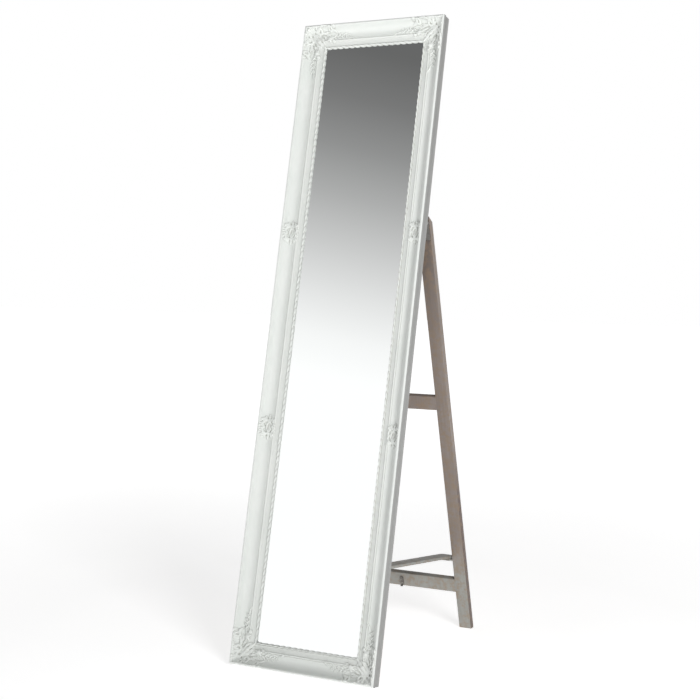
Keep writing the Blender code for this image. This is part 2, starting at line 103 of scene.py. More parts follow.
# ------------------------------------------------------------------ node helpers
class Shader:
    """Short way to build a node material around one Principled shader."""

    def __init__(self, name):
        self.mat = bpy.data.materials.new(name)
        self.mat.use_nodes = True
        self.tree = self.mat.node_tree
        self.bsdf = self.tree.nodes["Principled BSDF"]
        coords = self.tree.nodes.new("ShaderNodeTexCoord")
        self.coords = coords.outputs["Object"]

    def node(self, kind, **settings):
        made = self.tree.nodes.new(kind)
        for key, value in settings.items():
            setattr(made, key, value)
        return made

    def link(self, source, target):
        self.tree.links.new(source, target)

    def stretch(self, scale):
        """Object coordinates scaled on each axis."""
        made = self.node("ShaderNodeMapping")
        made.inputs["Scale"].default_value = scale
        self.link(self.coords, made.inputs["Vector"])
        return made.outputs["Vector"]

    def noise(self, scale, detail=4.0, rough=0.55, vector=None):
        made = self.node("ShaderNodeTexNoise")
        made.inputs["Scale"].default_value = scale
        made.inputs["Detail"].default_value = detail
        made.inputs["Roughness"].default_value = rough
        self.link(self.coords if vector is None else vector, made.inputs["Vector"])
        return made.outputs["Fac"]

    def ramp(self, source, stops):
        """Map a value through (position, value or colour) stops."""
        made = self.node("ShaderNodeValToRGB")
        elements = made.color_ramp.elements
        while len(elements) < len(stops):
            elements.new(0.5)
        for element, (position, value) in zip(elements, stops):
            element.position = position
            color = value if isinstance(value, tuple) else (value, value, value)
            element.color = (*color, 1.0)
        self.link(source, made.inputs["Fac"])
        return made.outputs["Color"]

    def mix(self, factor, first, second, blend="MIX"):
        made = self.node("ShaderNodeMix", data_type="RGBA", blend_type=blend)
        for key, value in (("Factor", factor), ("A", first), ("B", second)):
            index = {"Factor": 0, "A": 6, "B": 7}[key]
            socket = made.inputs[index]
            if isinstance(value, bpy.types.NodeSocket):
                self.link(value, socket)
            elif isinstance(value, tuple):
                socket.default_value = (*value, 1.0)
            else:
                socket.default_value = value
        return made.outputs[2]

    def math(self, operation, first, second=None):
        made = self.node("ShaderNodeMath", operation=operation)
        for socket, value in zip(made.inputs, (first, second)):
            if isinstance(value, bpy.types.NodeSocket):
                self.link(value, socket)
            elif value is not None:
                socket.default_value = value
        return made.outputs[0]

    def attribute(self, name):
        made = self.node("ShaderNodeAttribute", attribute_name=name)
        return made.outputs["Fac"]

    def bump(self, layers):
        """Stack of bumps: (height, strength, distance), coarse to fine."""
        normal = None
        for height, strength, distance in layers:
            made = self.node("ShaderNodeBump")
            made.inputs["Strength"].default_value = strength
            made.inputs["Distance"].default_value = distance
            self.link(height, made.inputs["Height"])
            if normal is not None:
                self.link(normal, made.inputs["Normal"])
            normal = made.outputs["Normal"]
        self.link(normal, self.bsdf.inputs["Normal"])

    def set(self, **values):
        for key, value in values.items():
            socket = self.bsdf.inputs[key.replace("_", " ")]
            if isinstance(value, bpy.types.NodeSocket):
                self.link(value, socket)
            else:
                socket.default_value = (*value, 1.0) if isinstance(value, tuple) else value


# ------------------------------------------------------------------ materials
def antique_white():
    """Chalky white paint over gesso, faintly glazed in its recesses, grey on the sides."""
    sh = Shader("antique_white_paint")
    cloud = sh.noise(9.0, 3.0)
    paint = sh.ramp(cloud, ((0.30, (0.785, 0.815, 0.785)), (0.70, (0.835, 0.855, 0.830))))
    streak = sh.noise(60.0, 5.0, 0.6, sh.stretch((6.0, 6.0, 0.6)))
    paint = sh.mix(sh.ramp(streak, ((0.42, 0.0), (0.75, 0.16))), paint, (0.73, 0.74, 0.70))
    patch = sh.noise(55.0, 4.0, 0.65)
    uneven = sh.ramp(patch, ((0.25, 0.45), (0.70, 1.0)))
    glaze = sh.math("MULTIPLY", sh.attribute("recess"), uneven)
    paint = sh.mix(glaze, paint, (0.50, 0.50, 0.455))
    fleck = sh.noise(420.0, 2.0, 0.7)
    paint = sh.mix(sh.ramp(fleck, ((0.68, 0.0), (0.76, 0.25))), paint, (0.66, 0.65, 0.60))
    grey = sh.ramp(streak, ((0.35, (0.375, 0.380, 0.372)), (0.75, (0.315, 0.315, 0.305))))
    paint = sh.mix(sh.attribute("side"), paint, grey)
    sh.set(Base_Color=paint, Roughness=sh.ramp(patch, ((0.3, 0.42), (0.7, 0.60))))
    brush = sh.noise(260.0, 6.0, 0.6, sh.stretch((3.0, 3.0, 0.35)))
    grain = sh.noise(1500.0, 3.0, 0.6)
    sh.bump(((brush, 0.22, 0.0006), (grain, 0.12, 0.0003)))
    return sh.mat


def stand_paint():
    """Matt taupe paint brushed on timber, worn on the edges, with painted shade near the top on
    all but the outer sides, a paler grey towards the foot as painted light, and darker low on the
    outer sides.
    """
    sh = Shader("stand_paint")
    cloud = sh.noise(5.0, 3.0)
    paint = sh.ramp(cloud, ((0.30, (0.265, 0.228, 0.208)), (0.70, (0.318, 0.280, 0.258))))
    drop = sh.attribute("drop")
    # Painted light: the stand turns a paler neutral grey towards the foot, where it stands clear
    # of the frame's shade; the arms are grey all over.
    pale = sh.ramp(drop, ((0.79, 0.0), (0.87, 1.0)))
    # Painted shade: every face except the outer sides is darkened near the top of the stand, where
    # the frame shades it.
    front = sh.math("SUBTRACT", 1.0, sh.attribute("outside"))
    frame_shadow = sh.math("MULTIPLY", front, sh.ramp(drop, ((0.03, 0.75), (0.26, 0.0))))
    paint = sh.mix(frame_shadow, paint, (0.095, 0.072, 0.065))
    grain = sh.noise(38.0, 7.0, 0.62, sh.stretch((9.0, 9.0, 0.35)))
    paint = sh.mix(sh.ramp(grain, ((0.40, 0.0), (0.72, 0.40))), paint, (0.205, 0.172, 0.152))
    # Painted light: the paler grey laid on low on the stand and on the arms.
    grey = sh.ramp(grain, ((0.40, (0.335, 0.338, 0.318)), (0.72, (0.285, 0.283, 0.262))))
    paint = sh.mix(pale, paint, grey)
    # Darker brown low on the outer sides of the legs.
    low = sh.ramp(drop, ((0.52, 0.0), (0.68, 1.0)))
    low_outer_dark = sh.math("MULTIPLY", sh.attribute("outside"), low)
    paint = sh.mix(sh.math("MULTIPLY", low_outer_dark, 0.9), paint, (0.105, 0.072, 0.062))
    worn = sh.noise(75.0, 5.0, 0.7)
    edge = sh.math("MULTIPLY", sh.attribute("edge"), sh.ramp(worn, ((0.45, 0.0), (0.62, 0.6))))
    paint = sh.mix(edge, paint, (0.30, 0.22, 0.15))
    sh.set(Base_Color=paint, Roughness=sh.ramp(worn, ((0.3, 0.46), (0.7, 0.62))))
    fine = sh.noise(900.0, 3.0, 0.6)
    sh.bump(((grain, 0.30, 0.0008), (fine, 0.12, 0.0003)))
    return sh.mat


def silvered_glass():
    sh = Shader("silvered_glass")
    haze = sh.noise(14.0, 3.0)
    sh.set(Base_Color=(0.93, 0.945, 0.94), Metallic=1.0,
           Roughness=sh.ramp(haze, ((0.35, 0.004), (0.75, 0.014))))
    return sh.mat


def hardboard():
    """Brown pressed board: fibres, darker flecks and a few pale scuffs."""
    sh = Shader("hardboard")
    cloud = sh.noise(12.0, 4.0)
    board = sh.ramp(cloud, ((0.30, (0.235, 0.135, 0.070)), (0.70, (0.330, 0.205, 0.115))))
    fibre = sh.noise(420.0, 5.0, 0.7)
    board = sh.mix(sh.ramp(fibre, ((0.45, 0.0), (0.70, 0.55))), board, (0.17, 0.095, 0.048))
    scuff = sh.noise(24.0, 6.0, 0.75, sh.stretch((1.0, 1.0, 3.0)))
    board = sh.mix(sh.ramp(scuff, ((0.64, 0.0), (0.72, 0.35))), board, (0.42, 0.31, 0.20))
    sh.set(Base_Color=board, Roughness=0.82)
    weave = sh.noise(700.0, 4.0, 0.6)
    sh.bump(((fibre, 0.35, 0.0006), (weave, 0.2, 0.0003)))
    return sh.mat


def plated_steel(name, dim, bright):
    """Plated hardware: faint spangle, brushed lines, dull spots."""
    sh = Shader(name)
    spangle = sh.node("ShaderNodeTexVoronoi")
    spangle.inputs["Scale"].default_value = 420.0
    sh.link(sh.coords, spangle.inputs["Vector"])
    tone = sh.ramp(spangle.outputs["Color"], ((0.2, dim), (0.8, bright)))
    dull = sh.noise(130.0, 5.0, 0.7)
    tone = sh.mix(sh.ramp(dull, ((0.58, 0.0), (0.70, 0.6))), tone, (0.34, 0.31, 0.27))
    sh.set(Base_Color=tone, Metallic=1.0, Roughness=sh.ramp(dull, ((0.3, 0.28), (0.7, 0.52))))
    lines = sh.noise(1600.0, 3.0, 0.6, sh.stretch((0.2, 1.0, 1.0)))
    sh.bump(((lines, 0.12, 0.0002),))
    return sh.mat


MATERIALS = {
    "antique_white": antique_white(),
    "stand_paint": stand_paint(),
    "mirror_glass": silvered_glass(),
    "hardboard": hardboard(),
    "steel": plated_steel("zinc_steel", (0.50, 0.50, 0.49), (0.68, 0.68, 0.66)),
}
AGED_STEEL = plated_steel("aged_steel", (0.16, 0.15, 0.14), (0.28, 0.27, 0.25))


# ------------------------------------------------------------------ piece makers
def register(obj, space, body, slot, nodes):
    bpy.context.scene.collection.objects.link(obj)
    obj.matrix_world = space
    obj.data.materials.append(MATERIALS[slot])
    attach(obj, body)
    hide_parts(*nodes)
    return obj


def mesh_object(name, bm, smooth_angle=35.0):
    bmesh.ops.remove_doubles(bm, verts=bm.verts, dist=1e-7)
    bmesh.ops.recalc_face_normals(bm, faces=bm.faces)
    mesh = bpy.data.meshes.new(name)
    bm.to_mesh(mesh)
    bm.free()
    mesh.polygons.foreach_set("use_smooth", [True] * len(mesh.polygons))
    mesh.set_sharp_from_angle(angle=math.radians(smooth_angle))
    return bpy.data.objects.new(name, mesh)


def grid_loft(rings, values, sides=None):
    """Closed body through rings of points, ends capped, with its recess and side values."""
    bm = bmesh.new()
    recess = bm.verts.layers.float.new("recess")
    outside = bm.verts.layers.float.new("side")
    rows = []
    for r, ring in enumerate(rings):
        row = [bm.verts.new(point) for point in ring]
        for i, vert in enumerate(row):
            vert[recess] = float(values[r][i])
            vert[outside] = sides[i] if sides else 0.0
        rows.append(row)
    count = len(rows[0])
    for near, far in zip(rows, rows[1:]):
        for i in range(count):
            j = (i + 1) % count
            bm.faces.new((near[i], near[j], far[j], far[i]))
    bm.faces.new(rows[0])
    bm.faces.new(reversed(rows[-1]))
    return bm


# ------------------------------------------------------------------ moulding
# visible face of the moulding: distance from the outer edge, depth
FACE = (
    (0.0000, 0.0055), (0.0005, 0.0026), (0.0020, 0.0007), (0.0042, 0.0002),
    (0.0062, 0.0014), (0.0076, 0.0040), (0.0090, 0.0076), (0.0106, 0.0112),
    (0.0126, 0.0146), (0.0150, 0.0174), (0.0180, 0.0196), (0.0212, 0.0210),
    (0.0245, 0.0217), (0.0280, 0.0216), (0.0320, 0.0207), (0.0355, 0.0196),
    (0.0368, 0.0193), (0.0377, 0.0204), (0.0385, 0.0191), (0.0399, 0.0178),
    (0.0415, 0.0183), (0.0426, 0.0199), (0.0438, 0.0206), (0.0480, 0.0217),
    (0.0520, 0.0228), (0.0545, 0.0236),
)
REED_FROM = 0.0440
REED_TO = 0.0540
REED_COUNT = 5
REED_DEPTH = 0.00045


def smooth_line(points, per_span=6):
    """Catmull-Rom curve through 2D points, with points kept."""
    pts = [np.array(p, float) for p in points]
    pts = [2 * pts[0] - pts[1]] + pts + [2 * pts[-1] - pts[-2]]
    out = []
    for i in range(1, len(pts) - 2):
        p0, p1, p2, p3 = pts[i - 1:i + 3]
        for k in range(per_span):
            t = k / per_span
            out.append(0.5 * (2 * p1 + (p2 - p0) * t + (2 * p0 - 5 * p1 + 4 * p2 - p3) * t * t
                              + (3 * p1 - p0 - 3 * p2 + p3) * t ** 3))
    out.append(pts[-2])
    return np.array(out)


FACE_LINE = smooth_line(FACE, 4)
FACE_LINE[:, 0] = np.maximum.accumulate(FACE_LINE[:, 0])


def reed_cut(u):
    """Depth of the fine reeding at a distance from the outer edge."""
    share = (np.asarray(u) - REED_FROM) / (REED_TO - REED_FROM)
    inside = (share > 0) & (share < 1)
    groove = np.abs(np.cos(np.pi * REED_COUNT * share)) ** 4
    return np.where(inside, REED_DEPTH * groove, 0.0)


def face_depth(u):
    u = np.clip(u, 0.0, RAIL_INNER_U)
    return np.interp(u, FACE_LINE[:, 0], FACE_LINE[:, 1])


def moulding_section():
    """Rail section points (u, n) with a recess value for each."""
    fine_u = np.linspace(REED_FROM, REED_TO, REED_COUNT * 8 + 1)
    outer = [tuple(p) for p in FACE_LINE if p[0] < REED_FROM - 1e-5]
    points = [(u, n) for u, n in outer]
    points += [(u, float(face_depth(u) + reed_cut(u))) for u in fine_u]
    points.append((RAIL_INNER_U, float(face_depth(RAIL_INNER_U))))
    recess = []
    for u, n in points:
        value = 0.5 * float(reed_cut(u)) / REED_DEPTH
        value += 0.9 * math.exp(-((u - 0.0377) / 0.0007) ** 2)
        value += 0.7 * math.exp(-((u - 0.0432) / 0.0008) ** 2)
        recess.append(min(value, 1.0) * 0.55)
    back_half = DEPTH * 0.43
    tail = [(RAIL_INNER_U, SEAT_N), (REBATE_U, SEAT_N), (REBATE_U, DEPTH), (BACK_STEP, DEPTH),
            (BACK_STEP, back_half), (0.0, back_half - BACK_STEP)]
    grey = [1.0 if u < 0.0002 else 0.0 for u, n in points] + [0.0, 0.0, 1.0, 1.0, 1.0, 1.0]
    return points + tail, recess + [0.2] * len(tail), grey


def side_point(side, u, n, along):
    """Point in frame space at a distance along one side of the frame."""
    if side in ("left", "right"):
        return ((HALF_W - u) * (1.0 if side == "right" else -1.0), n, along)
    return (along - HALF_W, n, u if side == "bottom" else HEIGHT - u)


def side_length(side):
    return HEIGHT if side in ("left", "right") else WIDTH


def build_rail(side):
    section, recess, grey = moulding_section()
    length = side_length(side)
    ease = GAP / math.sqrt(2.0)
    steps = int(length / 0.025)
    rings = []
    for k in range(steps + 1):
        ring = []
        for u, n in section:
            low = u + ease
            along = low + (length - 2.0 * low) * k / steps
            wave = 0.00012 * math.sin(along * 41.0 + u * 160.0)
            ring.append(side_point(side, u, n + (wave if n < SEAT_N - 0.001 else 0.0), along))
        rings.append(ring)
    name = ("stile_" if side in ("left", "right") else "rail_") + side
    bm = grid_loft(rings, [recess] * len(rings), grey)
    obj = mesh_object("moulding_" + side, bm, 50.0)
    return register(obj, TO_WORLD, "frame", "antique_white", [name])


ROPE_PITCH = 0.0165
ROPE_POINTS = 11


def build_slip(side):
    """Sight slip with a ribbon twist: slanting lobes that scallop its inner edge."""
    length = side_length(side)
    ease = GAP / math.sqrt(2.0)
    steps = int(length / 0.00125)
    rings, values = [], []
    inner_u = SIGHT_U - 0.0004
    for k in range(steps + 1):
        ring, value = [], []
        for i in range(ROPE_POINTS):
            share = i / (ROPE_POINTS - 1)
            base_u = 0.0548 + (inner_u - 0.0548) * share
            low = base_u + ease
            along = low + (length - 2.0 * low) * k / steps
            phase = (along / ROPE_PITCH - share * 0.62) % 1.0
            lobe = math.sin(math.pi * phase) ** 0.55
            crown = math.sin(math.pi * (0.08 + 0.84 * share))
            n = 0.0252 - crown * (0.0024 + 0.0032 * lobe)
            u = base_u + share ** 3 * 0.0024 * (lobe - 0.55)
            ring.append(side_point(side, u, n, along))
            value.append(min(1.0, 0.9 * (1.0 - lobe) ** 1.5 + (0.55 if i <= 1 else 0.0)))
        for tail_u in (u, 0.0548):
            low = tail_u + ease
            ring.append(side_point(side, tail_u, SEAT_N, low + (length - 2.0 * low) * k / steps))
            value.append(0.1)
        rings.append(ring)
        values.append(value)
    obj = mesh_object("rope_slip_" + side, grid_loft(rings, values), 60.0)
    return register(obj, TO_WORLD, "frame", "antique_white", ["sight_slip_" + side])


# ------------------------------------------------------------------ carved relief
class Relief:
    """Height field in millimetres that carved strokes are laid on."""

    def __init__(self, a0, a1, b0, b1, step):
        self.step = step
        self.a = np.arange(a0, a1 + step / 2, step)
        self.b = np.arange(b0, b1 + step / 2, step)
        self.A, self.B = np.meshgrid(self.a, self.b, indexing="ij")
        self.h = np.zeros_like(self.A)

    def put(self, height):
        self.h = np.maximum(self.h, height)

    def along(self, path, samples=56):
        """Nearest place on a smooth path: share along it and distance."""
        line = smooth_line(path, 12)
        gaps = np.hypot(*np.diff(line, axis=0).T)
        run = np.concatenate([[0.0], np.cumsum(gaps)])
        want = np.linspace(0.0, run[-1], samples)
        pts = np.column_stack([np.interp(want, run, line[:, i]) for i in (0, 1)])
        tangent = np.gradient(pts, axis=0)
        tangent /= np.hypot(*tangent.T)[:, None] + 1e-9
        best = np.full(self.A.shape, 1e9)
        share = np.zeros(self.A.shape)
        for k, (p, t) in enumerate(zip(pts, tangent)):
            da, db = self.A - p[0], self.B - p[1]
            distance = np.hypot(da, db)
            closer = distance < best
            ahead = (da * t[0] + db * t[1]) / max(run[-1], 1e-9)
            best = np.where(closer, distance, best)
            share = np.where(closer, np.clip(want[k] / run[-1] + ahead, 0.0, 1.0), share)
        return share, best

    def leaf(self, path, width, height, lobes=0, vein=0.35, tip=0.45, drop=0.5):
        """Leaf or petal: widest past its base, pointed at its end."""
        share, distance = self.along(path)
        spread = (share + 0.06) ** 0.38 * (1.02 - share) ** 0.62 * 1.62
        if lobes:
            spread *= 1.0 + 0.22 * np.cos(2.0 * np.pi * (lobes * share + 0.15))
        reach = np.maximum(width * spread, 1e-6)
        radius = np.clip(distance / reach, 0.0, 1.0)
        top = height * (1.0 - drop * share ** 1.6)
        body = top * np.sqrt(1.0 - radius ** 2)
        if vein:
            body -= vein * np.exp(-(distance / 0.9) ** 2) * (body > 0) * (1.0 - tip * share)
        if lobes:
            ridge = 0.5 + 0.5 * np.cos(2.0 * np.pi * (lobes * share - 0.75 * radius))
            body *= 1.0 - 0.16 * ridge * radius
        self.put(np.where(distance < reach, np.maximum(body, 0.0), 0.0))

    def cord(self, path, width, height, taper=0.4):
        share, distance = self.along(path)
        reach = width * (1.0 - taper * share)
        radius = np.clip(distance / reach, 0.0, 1.0)
        self.put(height * (1.0 - 0.4 * taper * share) * np.sqrt(1.0 - radius ** 2))

    def bead(self, a, b, radius, height):
        distance = np.hypot(self.A - a, self.B - b) / radius
        self.put(height * np.sqrt(np.clip(1.0 - distance ** 2, 0.0, 1.0)))

    def scroll(self, a, b, outer, inner, start, turns, width, height):
        """Spiral band that ends in a bead at its eye."""
        count = max(10, int(abs(turns) * 14))
        path = []
        for k in range(count + 1):
            t = k / count
            radius = outer + (inner - outer) * t ** 0.8
            angle = math.radians(start) + math.tau * turns * t
            path.append((a + radius * math.cos(angle), b + radius * math.sin(angle)))
        share, distance = self.along(path, 90)
        reach = width * (0.55 + 0.45 * np.sin(np.pi * (0.25 + 0.6 * share)))
        radius = np.clip(distance / reach, 0.0, 1.0)
        band = height * np.sqrt(1.0 - radius ** 2)
        band -= 0.3 * np.exp(-(distance / 0.8) ** 2) * (band > 0) * (1.0 - share)
        self.put(np.maximum(band, 0.0))
        end = path[-1]
        self.bead(end[0], end[1], width * 0.85, height * 1.08)

    def ring(self, a, b, radius, width, height):
        gap = np.abs(np.hypot(self.A - a, self.B - b) - radius) / width
        self.put(height * np.sqrt(np.clip(1.0 - gap ** 2, 0.0, 1.0)))

    def fan(self, a, b, radius, start, end, ribs, height):
        """Shell: ribs that spread from a focus to a scalloped rim."""
        da, db = self.A - a, self.B - b
        angle = np.degrees(np.arctan2(db, da)) % 360.0
        share = (angle - start) / (end - start)
        distance = np.hypot(da, db)
        wave = np.abs(np.sin(np.pi * ribs * share))
        rim = radius * (0.90 + 0.10 * wave)
        t = np.clip(distance / rim, 0.0, 1.0)
        swell = np.sin(np.pi * np.clip(0.16 + 0.80 * t, 0, 1)) ** 0.6
        body = height * (0.45 + 0.55 * wave ** 0.7) * swell
        self.put(np.where((share > 0) & (share < 1) & (distance < rim), body, 0.0))


def blur(field, radius_cells):
    """Box blur three times over, close to a Gaussian."""
    out = field.copy()
    width = 2 * radius_cells + 1
    for _ in range(3):
        for axis in (0, 1):
            padded = np.concatenate([np.take(out, [0] * (radius_cells + 1), axis), out,
                                     np.take(out, [-1] * radius_cells, axis)], axis)
            total = np.cumsum(padded, axis)
            upper = np.take(total, range(width, total.shape[axis]), axis)
            lower = np.take(total, range(0, total.shape[axis] - width), axis)
            out = (upper - lower) / width
    return out


def smooth_min(first, second, soft):
    return 0.5 * (first + second - np.sqrt((first - second) ** 2 + soft ** 2))


CARVE_EDGE = 0.14        # millimetres of relief below which nothing is made
FOREMOST_N = -0.0049     # nothing stands further forward than this


def carved_mask(height):
    """Grid cells that hold relief, with no cells joined at a corner only."""
    on = height > CARVE_EDGE
    cells = on[:-1, :-1] | on[1:, :-1] | on[:-1, 1:] | on[1:, 1:]
    for _ in range(8):
        nw, ne = cells[:-1, :-1], cells[:-1, 1:]
        sw, se = cells[1:, :-1], cells[1:, 1:]
        first = nw & se & ~ne & ~sw
        second = ne & sw & ~nw & ~se
        if not (first.any() or second.any()):
            break
        cells[:-1, 1:] |= first
        cells[:-1, :-1] |= second
    return cells


def biggest_island(cells):
    """Only the largest joined group of cells."""
    label = np.where(cells, np.arange(1, cells.size + 1).reshape(cells.shape), 0)
    while True:
        grown = label.copy()
        grown[1:] = np.maximum(grown[1:], label[:-1])
        grown[:-1] = np.maximum(grown[:-1], label[1:])
        grown[:, 1:] = np.maximum(grown[:, 1:], label[:, :-1])
        grown[:, :-1] = np.maximum(grown[:, :-1], label[:, 1:])
        grown = np.where(cells, grown, 0)
        if (grown == label).all():
            break
        label = grown
    names, counts = np.unique(label[label > 0], return_counts=True)
    return label == names[np.argmax(counts)]


def relief_object(name, relief, front, back, place):
    """Closed body between the carved front and its back, both depths in metres."""
    cells = biggest_island(carved_mask(relief.h))
    recess = np.clip((blur(relief.h, 3) - relief.h) / 1.3, 0.0, 0.8)
    recess = np.maximum(recess, np.clip((1.1 - relief.h) / 1.1, 0.0, 1.0) * 0.18)
    used = np.zeros(relief.h.shape, bool)
    used[:-1, :-1] |= cells
    used[1:, :-1] |= cells
    used[:-1, 1:] |= cells
    used[1:, 1:] |= cells
    index = -np.ones(relief.h.shape, int)
    index[used] = np.arange(used.sum())
    count = int(used.sum())
    verts = []
    for depth in (front, back):
        for i, j in zip(*np.nonzero(used)):
            verts.append(place(relief.A[i, j] * MM, relief.B[i, j] * MM, depth[i, j]))
    faces = []
    quads = np.stack([index[:-1, :-1], index[1:, :-1], index[1:, 1:], index[:-1, 1:]], -1)[cells]
    faces += quads.tolist()
    faces += (quads[:, ::-1] + count).tolist()
    padded = np.pad(cells, 1)
    for di, dj, first, second in ((-1, 0, (0, 1), (0, 0)), (1, 0, (1, 0), (1, 1)),
                                  (0, -1, (0, 0), (1, 0)), (0, 1, (1, 1), (0, 1))):
        rim = cells & ~padded[1 + di:1 + di + cells.shape[0], 1 + dj:1 + dj + cells.shape[1]]
        for i, j in zip(*np.nonzero(rim)):
            p = index[i + first[0], j + first[1]]
            q = index[i + second[0], j + second[1]]
            faces.append((int(q), int(p), int(p + count), int(q + count)))
    mesh = bpy.data.meshes.new(name)
    mesh.from_pydata(verts, [], faces)
    attribute = mesh.attributes.new("recess", "FLOAT", "POINT")
    values = recess[used]
    attribute.data.foreach_set("value", np.concatenate([values, values]).astype(np.float32))
    bm = bmesh.new()
    bm.from_mesh(mesh)
    bmesh.ops.recalc_face_normals(bm, faces=bm.faces)
    bm.to_mesh(mesh)
    bm.free()
    mesh.polygons.foreach_set("use_smooth", [True] * len(mesh.polygons))
    return bpy.data.objects.new(name, mesh)


def carve_arm(relief, swap):
    """One arm of a corner ornament: C-scroll, ring, boss, leaves and a sprig."""
    def at(points):
        return [(b, a) if swap else (a, b) for a, b in points]

    def spot(a, b):
        return (b, a) if swap else (a, b)

    def turned(start, turns):
        return (90.0 - start, -turns) if swap else (start, turns)

    relief.scroll(*spot(41.5, 14.5), 9.2, 2.8, *turned(205.0, -1.05), 3.5, 5.2)
    relief.leaf(at([(48, 7), (57, 3.8), (68, 4.6)]), 3.6, 4.4, 3)
    relief.leaf(at([(49, 19), (58, 19), (67, 16)]), 4.2, 4.6, 3)
    relief.ring(*spot(73.5, 11.0), 4.4, 2.7, 4.8)
    relief.leaf(at([(77, 13.5), (84, 15), (91, 19)]), 3.6, 4.4)
    relief.scroll(*spot(85.0, 6.8), 3.8, 1.2, *turned(-150.0, 0.85), 2.4, 4.4)
    for k in range(6):
        angle = math.radians(20.0 + 60.0 * k)
        reach = (11.5 * math.cos(angle), 9.8 * math.sin(angle))
        middle = (72.0 + 0.5 * reach[0], 35.0 + 0.5 * reach[1])
        tip = (72.0 + reach[0], 35.0 + reach[1])
        relief.leaf(at([(72, 35), middle, tip]), 4.4, 4.2, drop=0.3)
    relief.bead(*spot(72.0, 35.0), 6.4, 6.2)
    relief.scroll(*spot(84.0, 42.0), 3.4, 1.1, *turned(180.0, -0.9), 2.2, 4.0)
    relief.leaf(at([(51, 26), (57, 29), (63, 31)]), 4.0, 4.6, 2)
    relief.leaf(at([(58, 22), (66, 23), (75, 22)]), 3.2, 4.0)
    twig = [(80, 31.5), (92, 28.0), (106, 27.5), (121, 29.5), (133, 33), (143, 38)]
    stem = smooth_line(twig, 10)
    relief.cord(at(twig), 1.7, 3.2, 0.45)
    for k in range(8):
        size = 1.0 - 0.045 * k
        way = 1.0 if k % 2 else -1.0
        base = stem[np.argmin(np.abs(stem[:, 0] - (84.0 + 6.2 * k)))]
        mid = (base[0] + 3.6 * size, base[1] + way * 4.4 * size)
        end = (base[0] + 9.0 * size, base[1] + way * 8.2 * size)
        relief.leaf(at([tuple(base), mid, end]), 2.9 * size, 4.6 * size, vein=0.25, drop=0.35)
    relief.leaf(at([(131, 32), (138, 35.5), (145, 40.5)]), 2.5, 3.6, vein=0.25)


def carve_corner():
    relief = Relief(1.2, 147.0, 1.2, 147.0, 0.75)
    relief.fan(24.0, 24.0, 21.5, 176.0, 274.0, 5, 4.8)
    for swap in (False, True):
        carve_arm(relief, swap)

        def at(points):
            return [(b, a) if swap else (a, b) for a, b in points]

        relief.leaf(at([(29, 22), (41, 29), (51, 38), (57, 49)]), 5.0, 4.8, 3)
        relief.leaf(at([(26, 13), (31, 18), (36, 25)]), 3.4, 4.4)
    relief.leaf([(21, 21), (34, 34), (48, 48), (60.5, 60.5)], 6.6, 6.2, 4, drop=0.45)
    relief.bead(24.0, 24.0, 4.6, 6.6)
    relief.bead(58.0, 58.0, 2.6, 4.6)
    relief.h = 0.45 * relief.h + 0.55 * np.where(relief.h > 0.0, blur(relief.h, 1), 0.0)
    rim = np.clip((np.minimum(relief.A, relief.B) - 0.4) / 3.2, 0.0, 1.0)
    relief.h *= np.where(rim < 1.0, rim ** 0.5, 1.0)
    return relief


def carve_side():
    """Stile ornament: a is outward from its centre, b is up."""
    relief = Relief(-20.0, 23.0, -35.0, 35.0, 0.75)
    oval = np.hypot((relief.A + 0.5) / 6.5, relief.B / 11.5)
    rim = np.clip(np.abs(oval - 1.0) * 7.5 / 2.3, 0.0, 1.0)
    relief.put(4.6 * np.sqrt(1.0 - rim ** 2))
    relief.put(np.where(oval < 1.0, 1.0, 0.0))
    relief.leaf([(-0.5, -8), (-1.0, 0), (-0.5, 8)], 3.2, 4.6, drop=0.4)
    for way in (-1.0, 1.0):
        relief.leaf([(0, way * 13), (0.5, way * 22), (1.5, way * 32)], 4.2, 4.8, 3)
        relief.leaf([(-3, way * 14), (-7, way * 20), (-8, way * 28)], 3.4, 4.4)
        relief.leaf([(3, way * 14), (8, way * 20), (9, way * 28)], 3.4, 4.4)
        for across in (-1.0, 1.0):
            relief.cord([(across * 4, way * 16), (across * 11, way * 13), (across * 13.5, way * 6),
                         (across * 11, way * 0.8)], 2.5, 4.6, 0.1)
            relief.scroll(across * 11.5, way * 18.0, 3.8, 1.2, 90.0 * way,
                          -0.9 * way * across, 2.2, 4.4)
    for q in (-9.0, -3.0, 3.0, 9.0):
        relief.leaf([(12, q * 0.8), (16, q), (20.5 - abs(q) * 0.2, q * 1.2)], 2.2, 3.8, vein=0.0)
    for q in (-7.0, 0.0, 7.0):
        end = (-18 + abs(q) * 0.15, q * 1.15)
        relief.leaf([(-12, q * 0.8), (-15, q), end], 2.6, 3.6, vein=0.0)
    relief.h = 0.45 * relief.h + 0.55 * np.where(relief.h > 0.0, blur(relief.h, 1), 0.0)
    return relief


def ornament_faces(relief, u):
    """Front and back depth of an ornament that lies over the moulding."""
    base = face_depth(u)
    rope = np.where(u > RAIL_INNER_U, 0.0232, base)
    cells = max(1, int(round(2.6 / relief.step)))
    bridged = np.minimum(blur(rope, cells), rope)
    front = bridged - relief.h * MM
    return np.maximum(front, FOREMOST_N), rope + 0.0004


def build_corner_ornaments():
    relief = carve_corner()
    a, b = relief.A * MM, relief.B * MM
    u = np.maximum(smooth_min(a, b, 0.0016), 0.0006)
    front, back = ornament_faces(relief, u)
    for vertical, top in (("top", True), ("bottom", False)):
        for side, sx in (("left", -1.0), ("right", 1.0)):
            def place(a_m, b_m, n):
                return (sx * (HALF_W - a_m), n, HEIGHT - b_m if top else b_m)

            where = vertical + "_" + side
            obj = relief_object("corner_carving_" + where, relief, front, back, place)
            register(obj, TO_WORLD, "frame", "antique_white", ["corner_ornament_" + where])


SIDE_ORNAMENT_S = (1.096, 0.592)
SIDE_ORNAMENT_U = 0.0245


